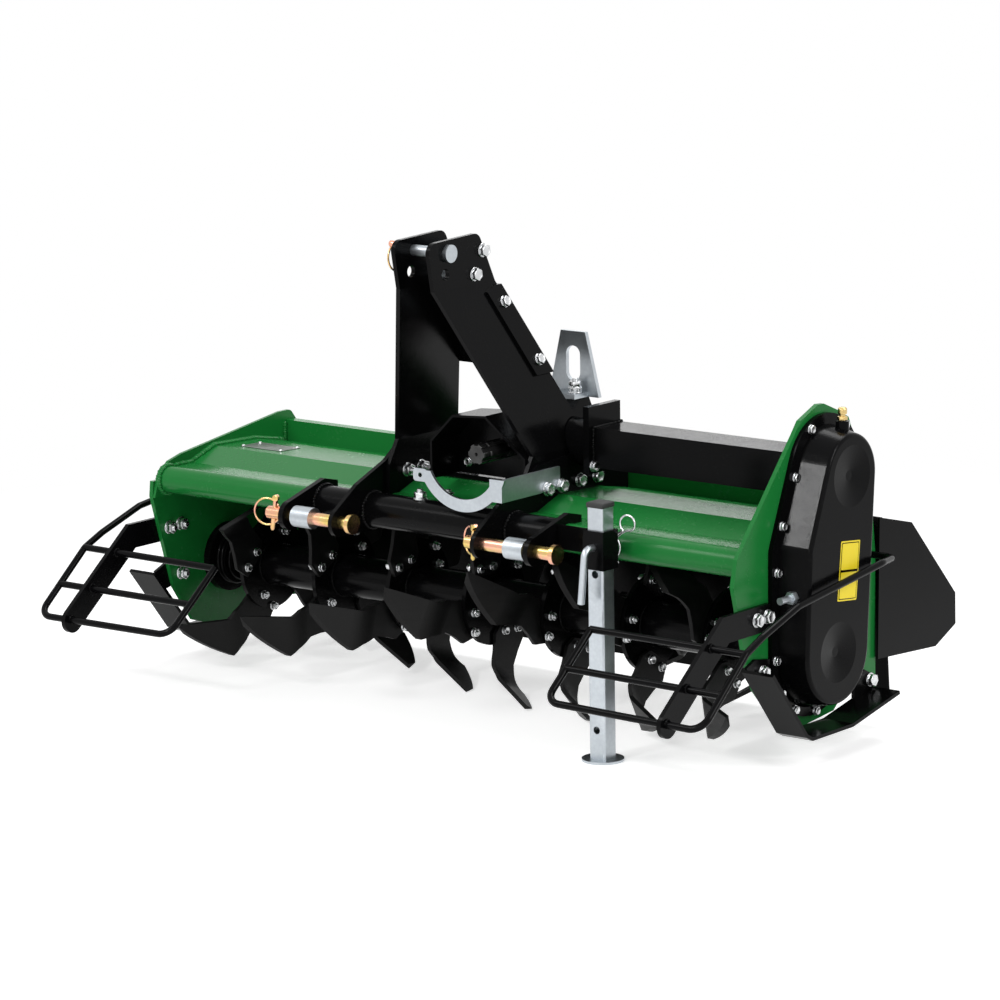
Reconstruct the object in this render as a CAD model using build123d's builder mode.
from build123d import *
import math
import os

os.makedirs("parts", exist_ok=True)

# A compact rotary tiller for a small tractor. Millimetres, +Z up, -Y towards the tractor, +X
# towards the chain case. The origin is on the ground under the middle of the machine.

# ---- side plates and ground -------------------------------------------------------------------
PLATE_IN = 632.0          # inner face of each side plate, from the middle
PLATE_T = 8.0
PLATE_OUT = PLATE_IN + PLATE_T
END_PLATE_T = 6.0         # upper end plate inside the left side plate
LEFT_IN = -(PLATE_IN - END_PLATE_T)
GAP = 0.3                 # seat between pieces of different bodies

# ---- rotor ------------------------------------------------------------------------------------
TIP_R = 180.0             # reach of the tines; the lowest one stands on the ground
ROTOR_Y = -6.0
ROTOR_Z = TIP_R
TUBE_R = 38.0
STUB_R = 22.0
RUNNING = 0.05            # radial clearance of a turning shaft
FLANGE_COUNT = 7
FLANGE_PITCH = 169.0
FLANGE_FIRST_X = -524.0
FLANGE_R = 82.0
FLANGE_T = 8.0
TINE_T = 7.0
TINE_REACH = 88.0         # sideways reach of the folded tip, from the middle of the shank
TINE_FOLD = 61.0          # degrees
TINE_SLANT = 37.0         # of the fold's line, from the tangent
TINE_FOLD_R = 146.0       # where the fold's line crosses the tine's own radius
TINE_BEND_R = 32.0
FIRST_TINE_DEG = 51.5     # from straight down towards the rear, on the first flange
HELIX_STEP_DEG = -15.5    # from one flange to the next
TUBE_LEFT = 57.0 - PLATE_IN
TUBE_RIGHT = PLATE_IN - 42.0

# ---- drive ------------------------------------------------------------------------------------
SHAFT_Y = 33.0            # upper shaft of the chain case, and the drive tube's middle
SHAFT_Z = 464.0
PTO_X = 78.0
PTO_R = 17.5
PTO_JOURNAL_R = 16.0      # the plain end that turns inside the gearbox
PTO_TIP_Y = -163.0
BEAM_D = 75.0
BEAM_H = 68.0
BEAM_WALL = 5.0
BEAM_LEFT = 202.0
BEAM_FLANGE_T = 12.0
GEARBOX_X = (30.0, 126.0)
GEARBOX_FRONT = -34.0
GEARBOX_REAR = 104.0
GEARBOX_TOP = 530.0
NECK_R = 40.0
NOSE_R = 24.0
NOSE_LEN = 30.0
SHAFT_SEAT = 60.0         # depth of the PTO shaft's seat behind the nose

# ---- hood -------------------------------------------------------------------------------------
PIPE_R = 24.0
PIPE_WALL = 12.0
PIPE_Y = -162.0
PIPE_Z = 345.0
HOOD_T = 4.0
HOOD_TOP = 387.0          # ridge of the folded hood sheet
HOOD_LOW = 366.0          # its front and rear edges
HOOD_FRONT = -150.0
HOOD_FOLDS = (-102.0, -42.0, 66.0)
HOOD_REAR = 154.0
CHANNEL_T = 3.0
CHANNEL_D = 20.0
CHANNEL_LOW = 358.0
CHANNEL_TOP = 404.0

# ---- hitch ------------------------------------------------------------------------------------
SLEEVE_WALL = 6.0
SLEEVE_R = PIPE_R + SLEEVE_WALL
EAR_T = 8.0
OUTER_EAR_T = 10.0
FOOT_OUT = 150.0          # outer face of the mast's foot, where the inner ear is bolted
OUTER_EAR_X = 260.0
PIN_Y = -247.0
PIN_Z = 336.0
PIN_R = 11.0
PIN_CLEAR = 0.2           # radial, in the ears
PIN_HOLE_R = PIN_R + PIN_CLEAR
PIN_LEN = 192.0
PIN_HEAD_R = 17.0
PIN_HEAD_T = 8.0
EAR_R = 25.0
BUSH_R = 18.25
BUSH_LEN = 40.0
EAR_BACK = -126.0         # where the ears pass down in front of the hood
MAST_T = 8.0
HEAD_IN = 33.0            # inner face of the mast's head plates
HEAD_BEND_Z = 740.0
FOOT_BEND_Z = 458.0
HEAD_TOP = 826.0
TOP_PIN_R = 9.5
TOP_PIN_Y = -183.0
TOP_PIN_Z = 801.0
SPARE_HOLE_R = 9.75
SPARE_Y = -190.0
SPARE_Z = 766.0

# ---- jack -------------------------------------------------------------------------------------
JACK_X = 387.0
JACK_STAND = 41.0         # from the front of the pipe to the middle of the leg
JACK_Y = PIPE_Y - PIPE_R - JACK_STAND
JACK_SIDE = 32.0
JACK_WALL = 4.0
JACK_TOP = 424.0
COLLAR_WALL = 4.0
COLLAR_SIDE = JACK_SIDE + 2 * COLLAR_WALL
COLLAR_LOW = 320.0
COLLAR_TOP = 384.0
JACK_CLEAR = 0.4          # between leg and collar on each side
JACK_PIN_Z = 357.0
JACK_PIN_R = 6.0
JACK_HOLES_Z = (312.0, 53.0)

# ---- tailgate ---------------------------------------------------------------------------------
HINGE_Y = 198.0
HINGE_Z = 378.0
HINGE_ROD_R = 6.0
BARREL_R = 10.0
BOARD_LOW = (223.0, 52.0)
BOARD_T = 2.5
CHEEK_T = 3.0
LUG_X = (-560.0, 0.0, 560.0)
LUG_T = 8.0

# ---- guards and skids -------------------------------------------------------------------------
ROD_R = 6.0
GUARD_W = 308.0
GUARD_OUT_X = PLATE_OUT + 76.0
GUARD_IN_X = GUARD_OUT_X - GUARD_W
ARM_T = 8.0
ARM_R = 22.0
SKID_W = 56.0
SKID_T = 6.0


def band(points, thickness):
    """Closed outline of a strip of even thickness along a bent line, with mitred corners."""
    sides = []
    for sign in (1, -1):
        side = []
        for i, (x, y) in enumerate(points):
            before = points[i - 1] if i else None
            after = points[i + 1] if i + 1 < len(points) else None
            normals = []
            for start, end in ((before, (x, y)), ((x, y), after)):
                if start and end:
                    length = math.dist(start, end)
                    normals.append(((start[1] - end[1]) / length, (end[0] - start[0]) / length))
            nx = sum(n[0] for n in normals)
            ny = sum(n[1] for n in normals)
            reach = thickness / 2 * len(normals) / (nx * nx + ny * ny) * sign
            side.append((x + nx * reach, y + ny * reach))
        sides.append(side)
    return sides[0] + sides[1][::-1]


HOOD_LINE = [
    (HOOD_FRONT, HOOD_LOW), (HOOD_FOLDS[0], HOOD_LOW), (HOOD_FOLDS[1], HOOD_TOP),
    (HOOD_FOLDS[2], HOOD_TOP - 4), (HOOD_REAR, HOOD_LOW),
]


def hood_between(front, rear):
    """Points of the hood's top line from front to rear, ends included."""
    points = []
    for (y0, z0), (y1, z1) in zip(HOOD_LINE, HOOD_LINE[1:]):
        for y in (front, rear):
            if y0 <= y < y1:
                points.append((y, z0 + (z1 - z0) * (y - y0) / (y1 - y0)))
        if front < y1 < rear:
            points.append((y1, z1))
    return points


def finish(builder, name):
    """Label a finished piece and write it."""
    builder.part.label = name
    export_step(builder.part, f"parts/{name}.step")


# ================================ hood and side plates =========================================
# Outline tables of (Y, Z), from the front lower corner upwards and round.
LOWER_EDGE = [(188, 74), (150, 78), (112, 98), (66, 60), (-20, 52), (-100, 78)]
RIGHT_OUTLINE = [
    (-155, 137), (-179, 188), (-202, 283), (-211, 315), (-201, 359), (-41, 539), (-26, 557),
    (24, 577), (40, 576), (81, 559), (110, 544), (176, 404), (188, 300),
]
LEFT_OUTLINE = [(-147, 146), (-187, 286), (-196, 318), (-193, 345), (188, 345)]
LEFT_UPPER = [(-196, 316), (-186, 350), (-158, 376), (-123, 385), (139, 421), (168, 421), (186, 398),
              (186, 345), (-120, 312)]

with BuildPart() as side_plate_right:
    with BuildSketch(Plane.YZ.offset(PLATE_IN)):
        with BuildLine():
            Polyline(*RIGHT_OUTLINE, *LOWER_EDGE, close=True)
        make_face()
    extrude(amount=PLATE_T)
finish(side_plate_right, "side_plate_right")

with BuildPart() as side_plate_left:
    with BuildSketch(Plane.YZ.offset(-PLATE_OUT)):
        with BuildLine():
            Polyline(*LEFT_OUTLINE, *LOWER_EDGE, close=True)
        make_face()
    extrude(amount=PLATE_T)
    with BuildSketch(Plane.YZ.offset(-PLATE_IN)) as upper:
        with BuildLine():
            Polyline(*LEFT_UPPER, close=True)
        make_face()
        fillet(upper.vertices().group_by(Axis.Y)[-1], 14)
    extrude(amount=END_PLATE_T)
finish(side_plate_left, "side_plate_left")

with BuildPart() as front_pipe:
    with BuildSketch(Plane.YZ.offset(LEFT_IN)):
        with Locations((PIPE_Y, PIPE_Z)):
            Circle(PIPE_R)
            Circle(PIPE_R - PIPE_WALL, mode=Mode.SUBTRACT)
    extrude(amount=PLATE_IN - LEFT_IN)
finish(front_pipe, "front_pipe")

with BuildPart() as hood_sheet:
    with BuildSketch(Plane.YZ.offset(LEFT_IN)):
        with BuildLine():
            Polyline(*HOOD_LINE, *[(y, z - HOOD_T) for y, z in HOOD_LINE[::-1]], close=True)
        make_face()
    extrude(amount=PLATE_IN - LEFT_IN)
    with BuildSketch(Plane.YZ.offset(LEFT_IN)):
        with Locations((PIPE_Y, PIPE_Z)):
            Circle(PIPE_R)
    extrude(amount=PLATE_IN - LEFT_IN, mode=Mode.SUBTRACT)
    with BuildSketch(Plane.YZ.offset(-OUTER_EAR_X - OUTER_EAR_T)):
        with Locations((PIPE_Y, PIPE_Z)):
            Circle(SLEEVE_R)
    extrude(amount=2 * (OUTER_EAR_X + OUTER_EAR_T), mode=Mode.SUBTRACT)
    with BuildSketch(Plane.XY.offset(HOOD_TOP)):
        for x, thickness in ((FOOT_OUT, EAR_T), (OUTER_EAR_X, OUTER_EAR_T)):
            for side in (-1, 1):
                with Locations((side * (x + thickness / 2), EAR_BACK)):
                    Rectangle(thickness, EAR_BACK - HOOD_FRONT, align=(Align.CENTER, Align.MAX))
    extrude(amount=HOOD_LOW - HOOD_TOP - HOOD_T, mode=Mode.SUBTRACT)
finish(hood_sheet, "hood_sheet")

with BuildPart() as rear_channel:
    with BuildSketch(Plane.YZ.offset(LEFT_IN)):
        with Locations((HOOD_REAR, CHANNEL_LOW)):
            Rectangle(CHANNEL_D, CHANNEL_TOP - CHANNEL_LOW, align=(Align.MIN, Align.MIN))
        with Locations((HOOD_REAR + CHANNEL_T, CHANNEL_LOW + CHANNEL_T)):
            Rectangle(CHANNEL_D, CHANNEL_TOP - CHANNEL_LOW - 2 * CHANNEL_T,
                      align=(Align.MIN, Align.MIN), mode=Mode.SUBTRACT)
    extrude(amount=PLATE_IN - LEFT_IN)
    for lug_x in LUG_X:
        with BuildSketch(Plane.YZ.offset(lug_x - LUG_T / 2)):
            with BuildLine():
                Polyline((HOOD_REAR + CHANNEL_T, HINGE_Z - BARREL_R), (HINGE_Y, HINGE_Z - BARREL_R),
                         (HINGE_Y, HINGE_Z + BARREL_R), (HOOD_REAR + CHANNEL_T, HINGE_Z + BARREL_R),
                         close=True)
            make_face()
            with Locations((HINGE_Y, HINGE_Z)):
                Circle(BARREL_R)
                Circle(HINGE_ROD_R, mode=Mode.SUBTRACT)
        extrude(amount=LUG_T)
finish(rear_channel, "rear_channel")

with BuildPart() as hinge_rod:
    with BuildSketch(Plane.YZ.offset(LUG_X[0] - LUG_T)):
        with Locations((HINGE_Y, HINGE_Z)):
            Circle(HINGE_ROD_R)
    extrude(amount=LUG_X[-1] - LUG_X[0] + 2 * LUG_T)
finish(hinge_rod, "hinge_rod")

# ================================ drive ========================================================
with BuildPart() as drive_tube:
    with BuildSketch(Plane.YZ.offset(BEAM_LEFT)):
        with Locations((SHAFT_Y, SHAFT_Z)):
            Rectangle(BEAM_D, BEAM_H)
            Rectangle(BEAM_D - 2 * BEAM_WALL, BEAM_H - 2 * BEAM_WALL, mode=Mode.SUBTRACT)
    extrude(amount=PLATE_IN - BEAM_LEFT)
    with BuildSketch(Plane.YZ.offset(BEAM_LEFT - BEAM_FLANGE_T)):
        with Locations((SHAFT_Y - 6, SHAFT_Z + 13)):
            Rectangle(BEAM_D + 12, BEAM_H + 46)
    extrude(amount=BEAM_FLANGE_T)
finish(drive_tube, "drive_tube")

BASE_T = 8.0              # thickness of the plate under the gearbox, over the hood's ridge
BASE_Y = (-30.0, 108.0)
gearbox_low = HOOD_TOP + BASE_T
with BuildPart() as gearbox_base:
    with BuildSketch(Plane.YZ.offset(MAST_T - FOOT_OUT)):
        with BuildLine():
            Polyline(*hood_between(*BASE_Y), (BASE_Y[1], gearbox_low), (BASE_Y[0], gearbox_low),
                     close=True)
        make_face()
    extrude(amount=2 * (FOOT_OUT - MAST_T))
finish(gearbox_base, "gearbox_base")

with BuildPart() as gearbox:
    with BuildSketch(Plane.XZ.offset(-GEARBOX_FRONT)):
        with BuildLine():
            Polyline((GEARBOX_X[0], gearbox_low), (GEARBOX_X[0], GEARBOX_TOP - 6),
                     (GEARBOX_X[0] + 6, GEARBOX_TOP), (GEARBOX_X[1] - 18, GEARBOX_TOP),
                     (GEARBOX_X[1], GEARBOX_TOP - 42), (GEARBOX_X[1], gearbox_low), close=True)
        make_face()
    extrude(amount=GEARBOX_FRONT - GEARBOX_REAR)
    fillet(gearbox.edges().filter_by(Axis.Z), 10)
    with BuildSketch(Plane.YZ.offset(PTO_X)):
        with Locations((SHAFT_Y, SHAFT_Z)):
            Circle(NECK_R)
    extrude(amount=BEAM_LEFT - BEAM_FLANGE_T - PTO_X)
    with BuildSketch(Plane.XZ.offset(-GEARBOX_FRONT)):
        with Locations((PTO_X, SHAFT_Z)):
            Circle(NOSE_R)
    extrude(amount=NOSE_LEN)
    with BuildSketch(Plane.XZ.offset(-GEARBOX_FRONT + NOSE_LEN)):
        with Locations((PTO_X, SHAFT_Z)):
            Circle(PTO_JOURNAL_R + RUNNING)
    extrude(amount=-SHAFT_SEAT, mode=Mode.SUBTRACT)
finish(gearbox, "gearbox")

nose_tip = GEARBOX_FRONT - NOSE_LEN
with BuildPart() as pto_shaft:
    with BuildSketch(Plane.XZ.offset(-PTO_TIP_Y)):
        with Locations((PTO_X, SHAFT_Z)):
            Circle(PTO_R)
    extrude(amount=-(nose_tip - GAP - PTO_TIP_Y))
    chamfer(pto_shaft.faces().sort_by(Axis.Y)[0].edges(), 2)
    with BuildSketch(Plane.XZ.offset(GAP - nose_tip)):
        with Locations((PTO_X, SHAFT_Z)):
            Circle(PTO_JOURNAL_R)
    extrude(amount=-SHAFT_SEAT)
finish(pto_shaft, "pto_shaft")

# Guard over the shaft: an open-bottomed shell that butts on the gearbox's front.
GUARD_FRONT = -112.0
GUARD_T = 4.0
guard_line = [(-62, 400), (-62, 465), (-14, 512), (56, 517), (139, 453), (139, 400)]
with BuildPart() as pto_guard:
    with BuildSketch(Plane.XZ.offset(-GEARBOX_FRONT)):
        with BuildLine():
            Polyline(*band(guard_line, GUARD_T), close=True)
        make_face()
    extrude(amount=GEARBOX_FRONT - GUARD_FRONT)
    with BuildSketch(Plane.XZ.offset(-GEARBOX_FRONT)):
        with BuildLine():
            Polyline(*guard_line, close=True)
        make_face()
        with Locations((PTO_X, SHAFT_Z)):
            Circle(NOSE_R, mode=Mode.SUBTRACT)
    extrude(amount=GUARD_T)
finish(pto_guard, "pto_guard")

# Chain case: a pressed cover on the right side plate, between the upper and lower shafts.
CASE_FLANGE_T = 8.0
CASE_OUT = PLATE_OUT + 60.0
CASE_WALL = 5.0
CASE_TAPER = 12.0
CASE_FACE = 12.0          # thickness behind the dished face
DISH_DEPTH = 7.0
# centre Y, centre Z, flange radius, body radius at the flange, dish radius
CASE_ENDS = [
    (SHAFT_Y, SHAFT_Z, 98.0, 80.0, 51.0),
    (ROTOR_Y, ROTOR_Z, 112.0, 97.0, 50.0),
]
CASE_BULGE = (-80.0, 352.0, 37.0)
COVER_BULGE = (-64.0, 356.0, 30.0)
TENSIONER_X = PLATE_OUT + 32.0
TENSIONER_Z = 283.0
with BuildPart() as chain_tensioner:
    with BuildSketch(Plane.XZ.offset(76)):
        with Locations((TENSIONER_X, TENSIONER_Z)):
            Circle(6)
    extrude(amount=54)
    with BuildSketch(Plane.XZ.offset(92)):
        with Locations((TENSIONER_X, TENSIONER_Z)):
            RegularPolygon(11, 6)
    extrude(amount=10)
finish(chain_tensioner, "chain_tensioner")

with BuildPart() as chain_case:
    with BuildSketch(Plane.YZ.offset(PLATE_OUT)):
        for y, z, flange_r, body_r, dish_r in CASE_ENDS:
            with Locations((y, z)):
                Circle(flange_r)
        with Locations(CASE_BULGE[:2]):
            Circle(CASE_BULGE[2])
        make_hull()
    extrude(amount=CASE_FLANGE_T)
    with BuildSketch(Plane.YZ.offset(PLATE_OUT + CASE_FLANGE_T)):
        for y, z, flange_r, body_r, dish_r in CASE_ENDS:
            with Locations((y, z)):
                Circle(body_r)
        with Locations(COVER_BULGE[:2]):
            Circle(COVER_BULGE[2])
        make_hull()
    extrude(amount=CASE_OUT - PLATE_OUT - CASE_FLANGE_T, taper=CASE_TAPER)
    fillet(chain_case.faces().sort_by(Axis.X)[-1].edges(), 7)
    with BuildSketch(Plane.YZ.offset(PLATE_OUT)):
        for y, z, flange_r, body_r, dish_r in CASE_ENDS:
            with Locations((y, z)):
                Circle(body_r - CASE_WALL)
        with Locations(COVER_BULGE[:2]):
            Circle(COVER_BULGE[2] - CASE_WALL)
        make_hull()
    extrude(amount=CASE_OUT - CASE_FACE - PLATE_OUT, taper=CASE_TAPER, mode=Mode.SUBTRACT)
    for y, z, flange_r, body_r, dish_r in CASE_ENDS:
        with BuildSketch(Plane.YZ.offset(CASE_OUT)):
            with Locations((y, z)):
                Circle(dish_r)
        with BuildSketch(Plane.YZ.offset(CASE_OUT - DISH_DEPTH)):
            with Locations((y, z)):
                Circle(dish_r / 6)
        loft(mode=Mode.SUBTRACT)
    BOSS_Z = SHAFT_Z + CASE_ENDS[0][3] - 14
    with BuildSketch(Plane.XY.offset(BOSS_Z)):
        with Locations((TENSIONER_X, SHAFT_Y + 13)):
            Circle(11)
    extrude(amount=20)
    add(chain_tensioner.part, mode=Mode.SUBTRACT)
finish(chain_case, "chain_case")

# ================================ rotor ========================================================
# Bearing housings: steps of (radius, thickness), from the side plate inwards.
BEARING_STEPS = {-1: [(62.0, 14.0), (44.0, 20.0), (36.0, 10.0)], 1: [(56.0, 14.0), (36.0, 12.0)]}
for side, name in ((-1, "bearing_left"), (1, "bearing_right")):
    with BuildPart() as bearing:
        x = side * PLATE_IN
        for radius, thickness in BEARING_STEPS[side]:
            with BuildSketch(Plane.YZ.offset(x)):
                with Locations((ROTOR_Y, ROTOR_Z)):
                    Circle(radius)
                    Circle(STUB_R + RUNNING, mode=Mode.SUBTRACT)
            extrude(amount=-side * thickness)
            x -= side * thickness
    finish(bearing, name)

with BuildPart() as rotor_tube:
    with BuildSketch(Plane.YZ.offset(TUBE_LEFT)):
        with Locations((ROTOR_Y, ROTOR_Z)):
            Circle(TUBE_R)
            Circle(TUBE_R - 6, mode=Mode.SUBTRACT)
    extrude(amount=TUBE_RIGHT - TUBE_LEFT)
    for x, end, seat in ((TUBE_LEFT, -PLATE_IN, 1), (TUBE_RIGHT, PLATE_IN, -1)):
        with BuildSketch(Plane.YZ.offset(x)):
            with Locations((ROTOR_Y, ROTOR_Z)):
                Circle(TUBE_R)
        extrude(amount=12 * seat)
        with BuildSketch(Plane.YZ.offset(x)):
            with Locations((ROTOR_Y, ROTOR_Z)):
                Circle(STUB_R)
        extrude(amount=end + seat * 2 - x)
finish(rotor_tube, "rotor_tube")

flange_places = [FLANGE_FIRST_X + i * FLANGE_PITCH for i in range(FLANGE_COUNT)]
with BuildPart() as rotor_flanges:
    for x in flange_places:
        with BuildSketch(Plane.YZ.offset(x - FLANGE_T / 2)):
            with Locations((ROTOR_Y, ROTOR_Z)):
                Circle(FLANGE_R)
                Circle(TUBE_R, mode=Mode.SUBTRACT)
        extrude(amount=FLANGE_T)
finish(rotor_flanges, "rotor_flanges")

# One right-hand tine, hanging straight down from the rotor's axis. It is a bent plate: flat on the
# flange, then folded sideways about a slanting line, and cut to its outline as seen from the side.
# The outline is a table of (behind the axis, below the axis).
TINE_FRONT = [(4, 46), (-13, 60), (-18, 90), (-26, 116), (-24, 131), (-50, 168), (-62, TIP_R + 8)]
TINE_REAR = [(30, TIP_R + 8), (26, 160), (28, 128), (42, 106), (60, 84), (57, 52)]
slant = math.radians(TINE_SLANT)
fold = math.radians(TINE_FOLD)
with BuildPart() as tine:
    fold_line = (0, math.cos(slant), -math.sin(slant))
    with BuildSketch(Plane(origin=(0, 0, -TINE_FOLD_R), x_dir=(1, 0, 0), z_dir=fold_line)) as section:
        leg = (TINE_REACH + TINE_T, (TINE_REACH + TINE_T) / math.tan(fold))
        corners = band([(0, -TIP_R), (0, 0), leg], TINE_T)
        with BuildLine():
            Polyline(*corners, close=True)
        make_face()
        for corner in sorted((corners[1], corners[4])):
            radius = TINE_BEND_R + (TINE_T if corner[0] < 0 else 0)
            fillet(section.vertices().sort_by_distance(corner)[0], radius)
    extrude(amount=TIP_R, both=True)
    with BuildSketch(Plane.YZ.offset(-TINE_T)):
        with BuildLine():
            Polyline(*[(y, -depth) for y, depth in TINE_FRONT + TINE_REAR], close=True)
        make_face()
    extrude(amount=TINE_REACH + TINE_T, mode=Mode.INTERSECT)
    with BuildSketch(Plane.YZ.offset(-TINE_T)):
        Circle(TIP_R)
    extrude(amount=TINE_REACH + 2 * TINE_T, mode=Mode.INTERSECT)

face_offset = (FLANGE_T + TINE_T) / 2
for hand, name in ((1, "tines_right_hand"), (-1, "tines_left_hand")):
    with BuildPart() as tines:
        for i, x in enumerate(flange_places):
            for half_turn in (0, 180):
                turn = FIRST_TINE_DEG + i * HELIX_STEP_DEG + half_turn + (0 if hand > 0 else 90)
                one = tine.part if hand > 0 else mirror(tine.part, about=Plane.YZ, mode=Mode.PRIVATE)
                one = Pos(x + hand * face_offset, ROTOR_Y, ROTOR_Z) * Rot(turn, 0, 0) * one
                add(one)
    finish(tines, name)

# ================================ hitch and mast ===============================================
with BuildPart() as hitch_tube:
    with BuildSketch(Plane.YZ.offset(-OUTER_EAR_X - OUTER_EAR_T)):
        with Locations((PIPE_Y, PIPE_Z)):
            Circle(SLEEVE_R)
            Circle(PIPE_R, mode=Mode.SUBTRACT)
    extrude(amount=2 * (OUTER_EAR_X + OUTER_EAR_T))
finish(hitch_tube, "hitch_tube")

INNER_EAR = [
    (PIN_Y - 10, PIN_Z + EAR_R - 2), (-203, 394), (-127, 424), (-100, 442), (40, 452), (70, 412),
    (HOOD_REAR - 6, 396), *hood_between(EAR_BACK, HOOD_REAR - 6)[::-1],
    (EAR_BACK, 330), (-150, 308), (PIN_Y + 8, PIN_Z - EAR_R + 1),
]
OUTER_EAR = [
    (PIN_Y - 10, PIN_Z + EAR_R - 2), (-160, 386), (EAR_BACK, 378), (EAR_BACK, 335), (-150, 308),
    (PIN_Y + 8, PIN_Z - EAR_R + 1),
]
EARS = [("ear_inner_right", FOOT_OUT, EAR_T, INNER_EAR), ("ear_outer_right", OUTER_EAR_X, OUTER_EAR_T,
                                                           OUTER_EAR)]
ears = {}
for name, x, thickness, outline in EARS:
    with BuildPart() as ear:
        with BuildSketch(Plane.YZ.offset(x)):
            with BuildLine():
                Polyline(*outline, close=True)
            make_face()
            with Locations((PIN_Y, PIN_Z)):
                Circle(EAR_R)
                Circle(PIN_HOLE_R, mode=Mode.SUBTRACT)
            with Locations((PIPE_Y, PIPE_Z)):
                Circle(SLEEVE_R, mode=Mode.SUBTRACT)
        extrude(amount=thickness)
    ears[name] = ear.part

for name, part in ears.items():
    with BuildPart() as left_ear:
        mirror(part, about=Plane.YZ)
    finish(left_ear, name.replace("right", "left"))

neck_hole_r = NECK_R + 2
for name, part in ears.items():
    with BuildPart() as right_ear:
        add(part)
        if name == "ear_inner_right":
            with BuildSketch(Plane.YZ.offset(FOOT_OUT)):
                with Locations((SHAFT_Y, SHAFT_Z)):
                    Circle(neck_hole_r)
            extrude(amount=EAR_T, mode=Mode.SUBTRACT)
    finish(right_ear, name)

mast_front_view = [
    (HEAD_IN + MAST_T / 2, HEAD_TOP + 20), (HEAD_IN + MAST_T / 2, HEAD_BEND_Z),
    (FOOT_OUT - MAST_T / 2, FOOT_BEND_Z), (FOOT_OUT - MAST_T / 2, HOOD_LOW - 20),
]
mast_rear_edge = [(-60, HEAD_BEND_Z), (58, FOOT_BEND_Z)]
MAST_OUTLINE = [
    *hood_between(-128, 92)[::-1], (-126, 418), (-102, FOOT_BEND_Z), (-220, HEAD_BEND_Z), (-235, 821),
    (-102, HEAD_TOP), *mast_rear_edge, (92, 432),
]
with BuildPart() as mast_blank:
    with BuildSketch(Plane.XZ.offset(-300)):
        with BuildLine():
            Polyline(*band(mast_front_view, MAST_T), close=True)
        make_face()
    extrude(amount=600)
    with BuildSketch(Plane.YZ) as outline:
        with BuildLine():
            Polyline(*MAST_OUTLINE, close=True)
        make_face()
        fillet(outline.vertices().group_by(Axis.Y)[-1] + outline.vertices().group_by(Axis.Y)[-2], 18)
        with Locations((TOP_PIN_Y, TOP_PIN_Z)):
            Circle(TOP_PIN_R + 0.15, mode=Mode.SUBTRACT)
        with Locations((SPARE_Y, SPARE_Z)):
            Circle(SPARE_HOLE_R, mode=Mode.SUBTRACT)
    extrude(amount=FOOT_OUT + 10, mode=Mode.INTERSECT)

with BuildPart() as mast_left:
    mirror(mast_blank.part, about=Plane.YZ)
finish(mast_left, "mast_left")

with BuildPart() as mast_right:
    add(mast_blank.part)
    with BuildSketch(Plane.YZ):
        with Locations((SHAFT_Y, SHAFT_Z)):
            Circle(neck_hole_r)
    extrude(amount=FOOT_OUT + 10, mode=Mode.SUBTRACT)
finish(mast_right, "mast_right")


# Brace behind the mast: a folded plate whose flanges lie outside the two mast plates.
BRACE_T = 5.0
BRACE_LOW = 582.0
BRACE_TOP = 735.0
BRACE_W = 42.0
slope_run = mast_front_view[2][0] - mast_front_view[1][0]
brace_shift = (MAST_T + BRACE_T) / 2 * math.hypot(slope_run, HEAD_BEND_Z - FOOT_BEND_Z)
brace_shift /= HEAD_BEND_Z - FOOT_BEND_Z
brace_flange = [(x + brace_shift, z) for x, z in mast_front_view[1:3]]
rear_run = mast_rear_edge[1][0] - mast_rear_edge[0][0]
rear_rise = HEAD_BEND_Z - FOOT_BEND_Z
rear_length = math.hypot(rear_run, rear_rise)
edge_normal = (rear_rise / rear_length, rear_run / rear_length)
web_line = [(y + edge_normal[0] * BRACE_T / 2, z + edge_normal[1] * BRACE_T / 2)
            for y, z in mast_rear_edge]
flange_line = [(y + edge_normal[0] * (BRACE_T - BRACE_W / 2), z + edge_normal[1] * (BRACE_T - BRACE_W / 2))
               for y, z in mast_rear_edge]
brace_parts = []
for front_outline, side_line, width in (
    (band(brace_flange, BRACE_T), flange_line, BRACE_W),
    ([*band(brace_flange, BRACE_T)[:2], (0, FOOT_BEND_Z), (0, HEAD_BEND_Z)], web_line, BRACE_T),
):
    with BuildPart() as brace_part:
        with BuildSketch(Plane.XZ.offset(-200)):
            with BuildLine():
                Polyline(*front_outline, close=True)
            make_face()
        extrude(amount=400)
        with BuildSketch(Plane.YZ):
            with BuildLine():
                Polyline(*band(side_line, width), close=True)
            make_face()
            with Locations((0, (BRACE_LOW + BRACE_TOP) / 2)):
                Rectangle(400, BRACE_TOP - BRACE_LOW, mode=Mode.INTERSECT)
        extrude(amount=FOOT_OUT + 20, mode=Mode.INTERSECT)
    brace_parts.append(brace_part.part)
with BuildPart() as mast_brace:
    add(brace_parts)
    mirror(about=Plane.YZ)
finish(mast_brace, "mast_brace")

SPACER_R = 13.0
SPACER_PLACES = [(-93, 796), (-115, 758)]
with BuildPart() as mast_spacers:
    with BuildSketch(Plane.YZ.offset(-HEAD_IN)):
        with Locations(*SPACER_PLACES):
            Circle(SPACER_R)
            Circle(SPACER_R - 4, mode=Mode.SUBTRACT)
    extrude(amount=2 * HEAD_IN)
finish(mast_spacers, "mast_spacers")

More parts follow.
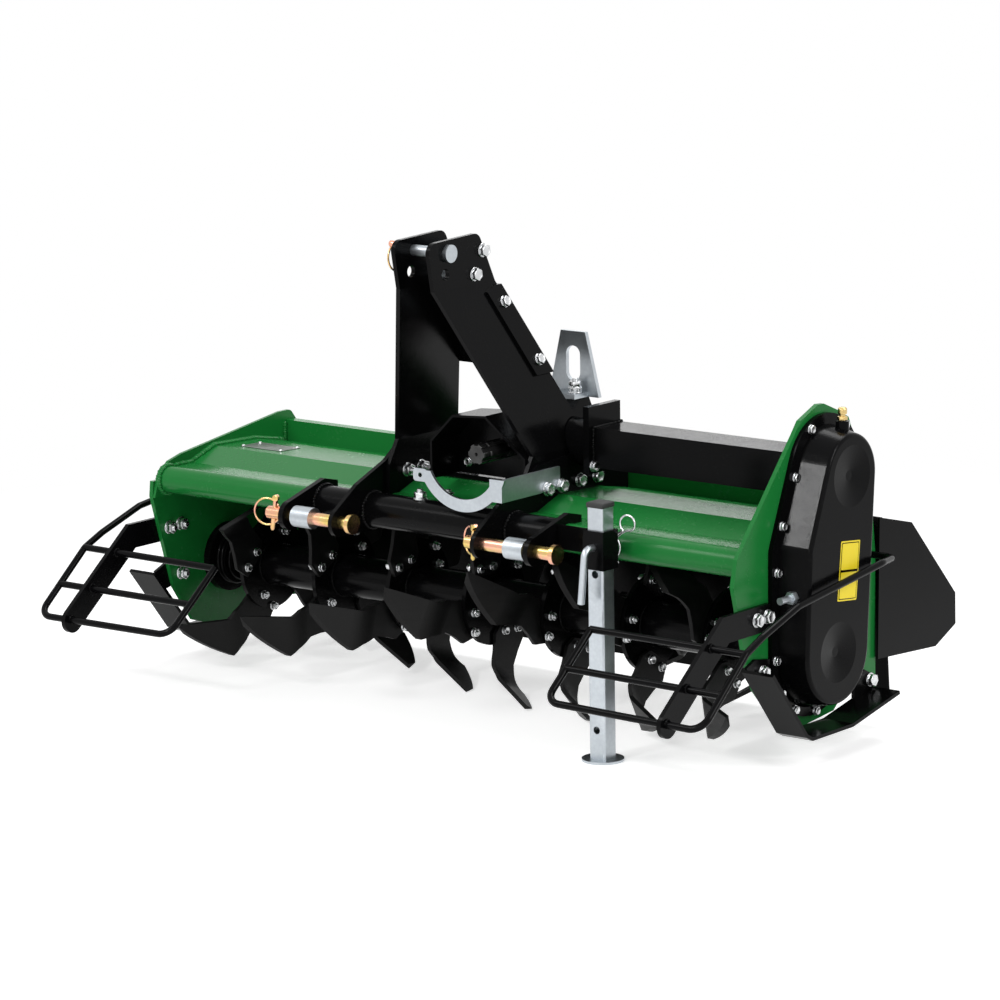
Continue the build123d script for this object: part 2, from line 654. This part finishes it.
# Hitch pins: name, centre Y, centre Z, radius, head radius, tip X, head's inner face X.
PINS = [
    ("top_pin", TOP_PIN_Y, TOP_PIN_Z, TOP_PIN_R, 15.0, -HEAD_IN - MAST_T - 38, HEAD_IN + MAST_T),
    ("lower_pin_left", PIN_Y, PIN_Z, PIN_R, PIN_HEAD_R, -314.0, -314.0 + PIN_LEN - PIN_HEAD_T),
    ("lower_pin_right", PIN_Y, PIN_Z, PIN_R, PIN_HEAD_R, 122.0, 122.0 + PIN_LEN - PIN_HEAD_T),
]
for name, y, z, radius, head_r, tip_x, head_x in PINS:
    with BuildPart() as pin:
        with BuildSketch(Plane.YZ.offset(tip_x)):
            with Locations((y, z)):
                Circle(radius)
        extrude(amount=head_x - tip_x)
        chamfer(pin.faces().sort_by(Axis.X)[0].edges(), 3)
        with BuildSketch(Plane.YZ.offset(head_x)):
            with Locations((y, z)):
                Circle(head_r)
        extrude(amount=PIN_HEAD_T)
    finish(pin, name)

for name, x in (("bushing_left", -250.0), ("bushing_right", 212.0)):
    with BuildPart() as bushing:
        with BuildSketch(Plane.YZ.offset(x)):
            with Locations((PIN_Y, PIN_Z)):
                Circle(BUSH_R)
                Circle(PIN_R, mode=Mode.SUBTRACT)
        extrude(amount=BUSH_LEN)
    finish(bushing, name)

# ================================ jack =========================================================
with BuildPart() as jack_collar:
    with BuildSketch(Plane.XY.offset(COLLAR_LOW)):
        with Locations((JACK_X, JACK_Y)):
            Rectangle(COLLAR_SIDE, COLLAR_SIDE)
            Rectangle(JACK_SIDE + 2 * JACK_CLEAR, JACK_SIDE + 2 * JACK_CLEAR, mode=Mode.SUBTRACT)
    extrude(amount=COLLAR_TOP - COLLAR_LOW)
    with BuildSketch(Plane.XZ.offset(-JACK_Y)):
        with Locations((JACK_X, JACK_PIN_Z)):
            Circle(JACK_PIN_R)
    extrude(amount=COLLAR_SIDE, both=True, mode=Mode.SUBTRACT)
    collar_left = JACK_X - COLLAR_SIDE / 2
    plate_y = PIPE_Y - PIPE_R - 3
    with BuildSketch(Plane.XY.offset(COLLAR_LOW + 12)):
        with BuildLine():
            Polyline(*band([(OUTER_EAR_X + OUTER_EAR_T, plate_y), (collar_left - 3, plate_y),
                            (collar_left - 3, JACK_Y - 14)], 6), close=True)
        make_face()
    extrude(amount=COLLAR_TOP - COLLAR_LOW - 24)
finish(jack_collar, "jack_collar")

# The locking pin is left out inside the leg, so the leg can slide; both ends stop in the collar.
inner_half = JACK_SIDE / 2 + JACK_CLEAR
with BuildPart() as jack_pin:
    with BuildLine() as pin_path:
        FilletPolyline(
            (JACK_X, JACK_Y - inner_half, JACK_PIN_Z), (JACK_X, JACK_Y - 42, JACK_PIN_Z),
            (JACK_X - 9, JACK_Y - 42, JACK_PIN_Z - 90), radius=12)
    with BuildSketch(Plane(pin_path.line @ 0, z_dir=pin_path.line % 0)):
        Circle(JACK_PIN_R)
    sweep()
    with BuildSketch(Plane.XZ.offset(-JACK_Y - inner_half)):
        with Locations((JACK_X, JACK_PIN_Z)):
            Circle(JACK_PIN_R)
    extrude(amount=-22)
finish(jack_pin, "jack_pin")

FOOT_R = 35.0
FOOT_T = 4.0
CAP_T = 4.0
with BuildPart() as jack_leg:
    with BuildSketch():
        with Locations((JACK_X, JACK_Y)):
            Circle(FOOT_R)
    extrude(amount=FOOT_T)
    with BuildSketch(Plane.XY.offset(FOOT_T)):
        with Locations((JACK_X, JACK_Y)):
            RectangleRounded(JACK_SIDE, JACK_SIDE, 4)
            RectangleRounded(JACK_SIDE - 2 * JACK_WALL, JACK_SIDE - 2 * JACK_WALL, 2, mode=Mode.SUBTRACT)
    extrude(amount=JACK_TOP - FOOT_T)
    with BuildSketch(Plane.XZ.offset(-JACK_Y)):
        with Locations(*[(JACK_X, z) for z in (*JACK_HOLES_Z, JACK_PIN_Z)]):
            Circle(JACK_PIN_R + 0.5)
    extrude(amount=JACK_SIDE, both=True, mode=Mode.SUBTRACT)
    with BuildSketch(Plane.XY.offset(JACK_TOP)):
        with Locations((JACK_X, JACK_Y)):
            RectangleRounded(JACK_SIDE, JACK_SIDE, 4)
    extrude(amount=CAP_T)
finish(jack_leg, "jack_leg")

# ================================ brackets =====================================================
HOLDER_T = 5.0
HOLDER_Y = -197.0
HOLDER_LOW = 397.0
HOLDER_H = 38.0
HOLDER_ARC_Z = 470.0
HOLDER_R = 76.0
HOLDER_BAND = 21.0
HOLDER_REAR = -46.0
holder_x = FOOT_OUT + EAR_T
with BuildPart() as shaft_holder:
    with BuildSketch(Plane.XY.offset(HOLDER_LOW)):
        with Locations((holder_x, HOLDER_Y)):
            Rectangle(HOLDER_T, HOLDER_REAR - HOLDER_Y, align=(Align.MIN, Align.MIN))
    extrude(amount=HOLDER_H)
    with BuildSketch(Plane.XZ.offset(-HOLDER_Y)):
        with Locations((PTO_X, HOLDER_ARC_Z)):
            Circle(HOLDER_R + HOLDER_BAND)
            Circle(HOLDER_R, mode=Mode.SUBTRACT)
        with Locations((PTO_X, HOLDER_LOW + HOLDER_H)):
            Rectangle(400, 400, align=(Align.CENTER, Align.MIN), mode=Mode.SUBTRACT)
        with Locations((holder_x + HOLDER_T, HOLDER_LOW)):
            Rectangle(26, HOLDER_H, align=(Align.MAX, Align.MIN))
        with Locations((PTO_X - HOLDER_R - 14, HOLDER_LOW + HOLDER_H - 9)):
            RectangleRounded(30, 22, 6)
            Circle(4, mode=Mode.SUBTRACT)
    extrude(amount=HOLDER_T)
finish(shaft_holder, "shaft_holder")

with BuildPart() as slotted_bracket:
    with BuildSketch(Plane.XZ.offset(-92)):
        with BuildLine():
            Polyline((40, GEARBOX_TOP), (66, 640), (118, 640), (146, GEARBOX_TOP), close=True)
        make_face()
        with Locations((92, 585)):
            SlotOverall(60, 30, rotation=90, mode=Mode.SUBTRACT)
    extrude(amount=8)
    with BuildSketch(Plane.XY.offset(GEARBOX_TOP)):
        with Locations((92, 84)):
            Rectangle(60, 36, align=(Align.CENTER, Align.MAX))
    extrude(amount=8)
finish(slotted_bracket, "slotted_bracket")

# ================================ skids and guards =============================================
skid_line = [(-188, 176), (-94, 58), (-78, 50), (36, 50), (172, 78)]
FRONT_TAB = [(-185, 180), (-160, 190), (-122, 184), (-122, 152), (-164, 144)]
REAR_TAB = [(118, 68), (118, 100), (148, 114), (178, 98), (182, 82)]
with BuildPart() as skid_right:
    with BuildSketch(Plane.YZ.offset(PLATE_OUT)):
        with BuildLine():
            Polyline(*band(skid_line, SKID_T), close=True)
        make_face()
    extrude(amount=SKID_W + 4)
    with BuildSketch(Plane.YZ.offset(PLATE_OUT)):
        for tab in (FRONT_TAB, REAR_TAB):
            with BuildLine():
                Polyline(*tab, close=True)
            make_face()
    extrude(amount=SKID_T)
finish(skid_right, "skid_right")

with BuildPart() as skid_left:
    mirror(skid_right.part, about=Plane.YZ)
finish(skid_left, "skid_left")

# Rods of a guard: bend radius, then the corner points.
GUARD_RODS = [
    (26, [(GUARD_IN_X, -283, 232), (GUARD_IN_X, -403, 136), (GUARD_OUT_X, -403, 132),
          (GUARD_OUT_X, -284, 232), (GUARD_OUT_X, -240, 251), (GUARD_OUT_X, -142, 283),
          (GUARD_OUT_X, 96, 312), (PLATE_OUT + 52, 164, 306), (PLATE_OUT, 164, 306)]),
    (0, [(GUARD_IN_X, -283, 232), (GUARD_OUT_X, -284, 232)]),
    (0, [(GUARD_IN_X, -348, 180), (GUARD_OUT_X, -348, 178)]),
]
ARM_LINE = [(-121, 254), (-242, 254), (-396, 131)]
with BuildPart() as guard_right:
    for bend_r, points in GUARD_RODS:
        with BuildLine() as rod_path:
            if bend_r:
                FilletPolyline(*points, radius=bend_r)
            else:
                Line(*points)
        with BuildSketch(Plane(rod_path.line @ 0, z_dir=rod_path.line % 0)):
            Circle(ROD_R)
        sweep(path=rod_path.line)
    with BuildSketch(Plane.YZ.offset(PLATE_OUT)):
        with BuildLine():
            Polyline(*band(ARM_LINE, 2 * ARM_R), close=True)
        make_face()
        with Locations(ARM_LINE[-1]):
            Circle(ARM_R)
    extrude(amount=ARM_T)
finish(guard_right, "guard_right")

with BuildPart() as guard_left:
    mirror(guard_right.part, about=Plane.YZ)
finish(guard_left, "guard_left")

# ================================ tailgate =====================================================
SIDE_CLEAR = 5.0          # between the cheeks and the side plates
CHEEK_IN = PLATE_OUT + SIDE_CLEAR
BOARD_DROP = 16.0         # top edge of the board below the hinge's axis
board_run = (BOARD_LOW[0] - HINGE_Y) / (HINGE_Z - BOARD_LOW[1])
board_top = (HINGE_Y + board_run * BOARD_DROP, HINGE_Z - BOARD_DROP)
with BuildPart() as tail_board:
    with BuildSketch(Plane.YZ.offset(-CHEEK_IN)):
        with BuildLine():
            Polyline(*band([board_top, BOARD_LOW, (BOARD_LOW[0] + 14, BOARD_LOW[1] - 3)], BOARD_T),
                     close=True)
        make_face()
    extrude(amount=2 * CHEEK_IN)
    for lug_x in LUG_X:
        for side in (-1, 1):
            with BuildSketch(Plane.YZ.offset(lug_x + side * (LUG_T / 2 + 1))):
                with Locations((HINGE_Y, HINGE_Z)):
                    Circle(BARREL_R)
                with Locations((HINGE_Y, HINGE_Z - BOARD_DROP - 4)):
                    Rectangle(2 * BOARD_T, BOARD_DROP, align=(Align.CENTER, Align.MIN))
                with Locations((HINGE_Y, HINGE_Z)):
                    Circle(HINGE_ROD_R + RUNNING, mode=Mode.SUBTRACT)
            extrude(amount=side * 24)
finish(tail_board, "tail_board")

CHEEK = [(189, 364), (284, 340), (417, 196), (418, 142), (357, 114), (184, 125)]
for side, name in ((-1, "tail_cheek_left"), (1, "tail_cheek_right")):
    with BuildPart() as tail_cheek:
        with BuildSketch(Plane.YZ.offset(side * CHEEK_IN)):
            with BuildLine():
                Polyline(*CHEEK, close=True)
            make_face()
        extrude(amount=side * CHEEK_T)
    finish(tail_cheek, name)
